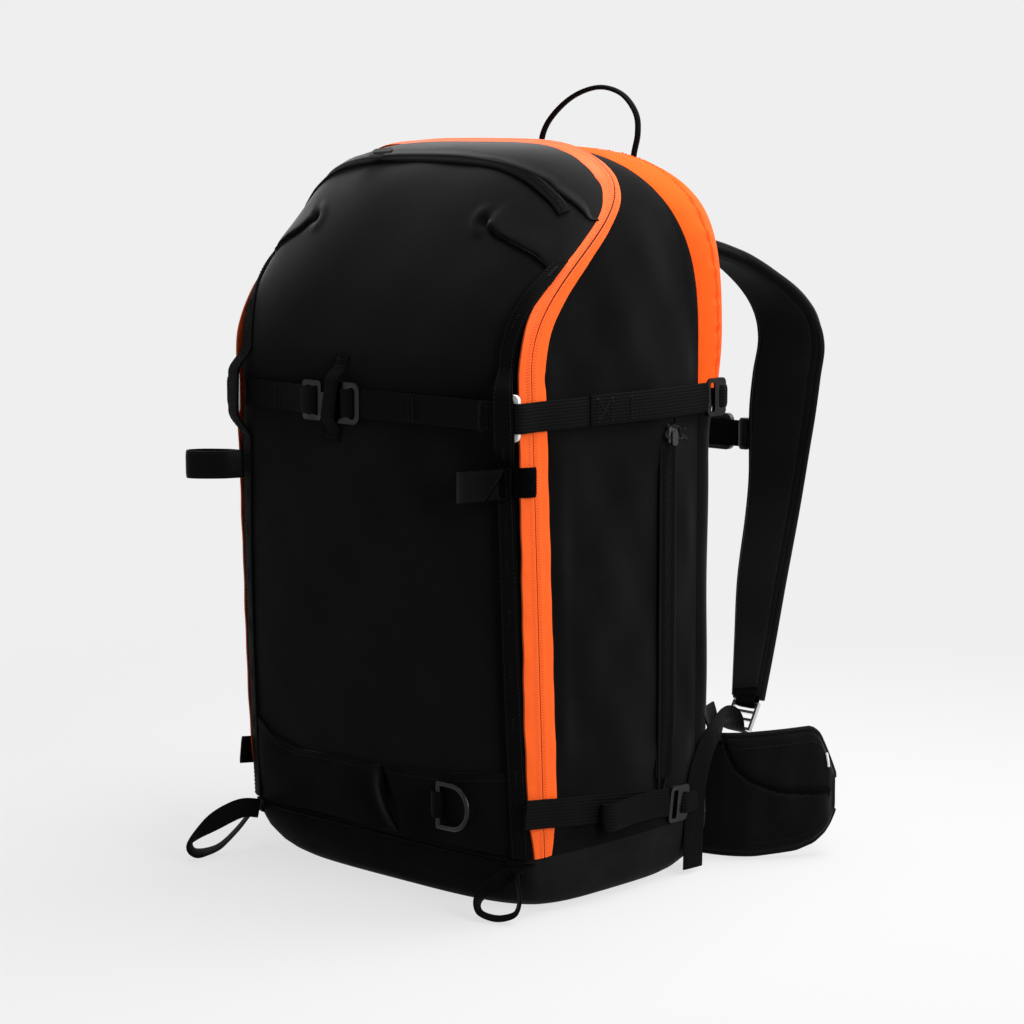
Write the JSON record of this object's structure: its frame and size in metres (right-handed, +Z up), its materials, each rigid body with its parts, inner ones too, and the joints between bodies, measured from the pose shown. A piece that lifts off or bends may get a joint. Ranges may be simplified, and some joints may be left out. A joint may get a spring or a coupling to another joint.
{
  "type": "avalanche airbag backpack",
  "caption": "Ski-touring backpack with an orange U-zip front panel, an airbag stowed under an orange edge cover, compression straps, tool loops, padded shoulder straps and a hip belt.",
  "frame": {"origin": "on the floor plane, under the middle of the base's flat underside", "axes": "+Z up along the standing pack, -Y toward the front panel, +Y toward the wearer, +X toward the wearer's right"},
  "size_m": [0.3722, 0.405, 0.561],
  "materials": {
    "shell": "matte woven nylon",
    "orange": "matte coated tape",
    "airbag": "thin coated nylon",
    "mesh": "spacer mesh",
    "sheet": "matte",
    "webbing": "ribbed webbing",
    "padding": "padded nylon",
    "black_metal": "satin anodised",
    "black_plastic": "semi gloss",
    "pale_plastic": "semi gloss",
    "bright_metal": "satin",
    "unit_metal": "satin",
    "cartridge": "satin",
    "red_plastic": "matte",
    "cable": "matte sleeve"
  },
  "bodies": {
    "pack": {"base_tub": "shell", "side_panel_right": "shell", "side_panel_left": "shell", "top_panel": "shell", "airbag_cover": "orange", "back_panel": "mesh", "frame_sheet": "sheet", "back_pad_right": "mesh", "back_pad_left": "mesh", "lumbar_pad": "mesh", "zip_tape_body": "orange", "side_zip_tape": "webbing", "upper_strap_right": "webbing", "upper_strap_left": "webbing", "lower_strap_right": "webbing", "lower_strap_left": "webbing", "upper_hook_right": "black_metal", "upper_hook_left": "black_metal", "lower_hook_right": "black_metal", "lower_hook_left": "black_metal", "shoulder_strap_right": "padding", "shoulder_strap_left": "padding", "strap_webbing_right": "webbing", "strap_webbing_left": "webbing", "folded_airbag": "airbag", "inflation_unit": "unit_metal", "cartridge_strap": "webbing", "release_cable": "cable", "handle_sheath": "black_plastic"},
    "front": {"front_panel": "shell", "zip_tape_door": "orange", "pocket_zip_tape": "webbing", "daisy_right": "webbing", "daisy_left": "webbing", "front_strap": "webbing", "front_hook": "black_metal", "edge_ring_right": "pale_plastic", "edge_ring_left": "pale_plastic", "d_ring_keeper": "webbing"},
    "front_slider": {"front_zip_slider": "black_metal"},
    "pocket_slider": {"pocket_zip_slider": "black_metal"},
    "d_ring": {"d_ring": "black_plastic"},
    "tab_right": {"tool_tab_right": "webbing"},
    "tab_left": {"tool_tab_left": "webbing"},
    "side_slider": {"side_zip_slider": "black_metal"},
    "axe_right": {"axe_loop_right": "webbing"},
    "axe_left": {"axe_loop_left": "webbing"},
    "haul": {"haul_loop": "webbing"},
    "buckle_right": {"strap_buckle_right": "bright_metal"},
    "buckle_left": {"strap_buckle_left": "bright_metal"},
    "sternum": {"sternum_strap": "webbing", "sternum_buckle": "black_plastic"},
    "fin_right": {"hip_fin_right": "padding", "hip_buckle_right": "black_plastic"},
    "fin_left": {"hip_fin_left": "padding", "hip_buckle_left": "black_plastic"},
    "pin": {"piercing_pin": "bright_metal"},
    "lever": {"release_lever": "red_plastic"},
    "cartridge": {"cartridge": "cartridge"},
    "handle": {"release_handle": "red_plastic"}
  },
  "joints": [
    {"name": "front_open", "type": "hinge", "parent": "pack", "child": "front", "pos_m": [0, -0.121, 0.04], "axis": [1, 0, 0], "range_deg": [0, 75]},
    {"name": "front_zip_run", "type": "slide", "parent": "pack", "child": "front_slider", "axis": [0, -0.0274, 0.9996], "range_m": [0, 0.2]},
    {"name": "pocket_zip_run", "type": "slide", "parent": "front", "child": "pocket_slider", "axis": [0.9982, -0.0259, 0.0545], "range_m": [-0.01, 0.01]},
    {"name": "d_ring_swing", "type": "hinge", "parent": "front", "child": "d_ring", "pos_m": [0.067, -0.12301, 0.07], "axis": [0, 0, -1], "range_deg": [0, 110]},
    {"name": "tab_right_swing", "type": "hinge", "parent": "front", "child": "tab_right", "pos_m": [0.1338, -0.1232, 0.294], "axis": [0, 0, 1], "range_deg": [0, 100]},
    {"name": "tab_left_swing", "type": "hinge", "parent": "front", "child": "tab_left", "pos_m": [-0.1338, -0.1232, 0.2885], "axis": [0, 0, 1], "range_deg": [-15, 100]},
    {"name": "side_zip_run", "type": "slide", "parent": "pack", "child": "side_slider", "axis": [0, 0, -1], "range_m": [0, 0.2]},
    {"name": "axe_right_swing", "type": "hinge", "parent": "pack", "child": "axe_right", "pos_m": [0.13015, -0.11412, 0.033], "axis": [-0.958, -0.2869, 0], "range_deg": [0, 55]},
    {"name": "axe_left_swing", "type": "hinge", "parent": "pack", "child": "axe_left", "pos_m": [-0.1299, -0.1133, 0.033], "axis": [-0.958, 0.2869, 0], "range_deg": [0, 30]},
    {"name": "haul_swing", "type": "hinge", "parent": "pack", "child": "haul", "pos_m": [0, 0.1066, 0.49], "axis": [1, 0, 0], "range_deg": [-75, 12]},
    {"name": "buckle_right_tilt", "type": "hinge", "parent": "pack", "child": "buckle_right", "pos_m": [0.1085, 0.161, 0.1034], "axis": [1, 0, 0], "range_deg": [0, 25]},
    {"name": "buckle_left_tilt", "type": "hinge", "parent": "pack", "child": "buckle_left", "pos_m": [-0.1085, 0.161, 0.1034], "axis": [1, 0, 0], "range_deg": [0, 25]},
    {"name": "sternum_height", "type": "slide", "parent": "pack", "child": "sternum", "axis": [0, 0, 1], "range_m": [-0.01, 0.01]},
    {"name": "fin_right_fold", "type": "hinge", "parent": "pack", "child": "fin_right", "pos_m": [0.092, 0.103, 0.05], "axis": [0, 0, 1], "range_deg": [0, 28]},
    {"name": "fin_left_fold", "type": "hinge", "parent": "pack", "child": "fin_left", "pos_m": [-0.092, 0.103, 0.05], "axis": [0, 0, -1], "range_deg": [0, 28]},
    {"name": "handle_pull", "type": "slide", "parent": "pack", "child": "handle", "axis": [0, 0, -1], "range_m": [0, 0.05]},
    {"name": "lever_turn", "type": "hinge", "parent": "pack", "child": "lever", "pos_m": [-0.05, 0.046, 0.397], "axis": [0, -1, 0], "range_deg": [0, 12]},
    {"name": "pin_drive", "type": "slide", "parent": "pack", "child": "pin", "axis": [0, 0, -1], "range_m": [0, 0.003]},
    {"name": "cartridge_draw", "type": "slide", "parent": "pack", "child": "cartridge", "axis": [0, 0, -1], "range_m": [0, 0.022]}
  ],
  "couplings": [
    {"joint": "lever_turn", "follows": "handle_pull", "rad_per_m": 3.9794},
    {"joint": "pin_drive", "follows": "handle_pull", "ratio": 0.06}
  ]
}
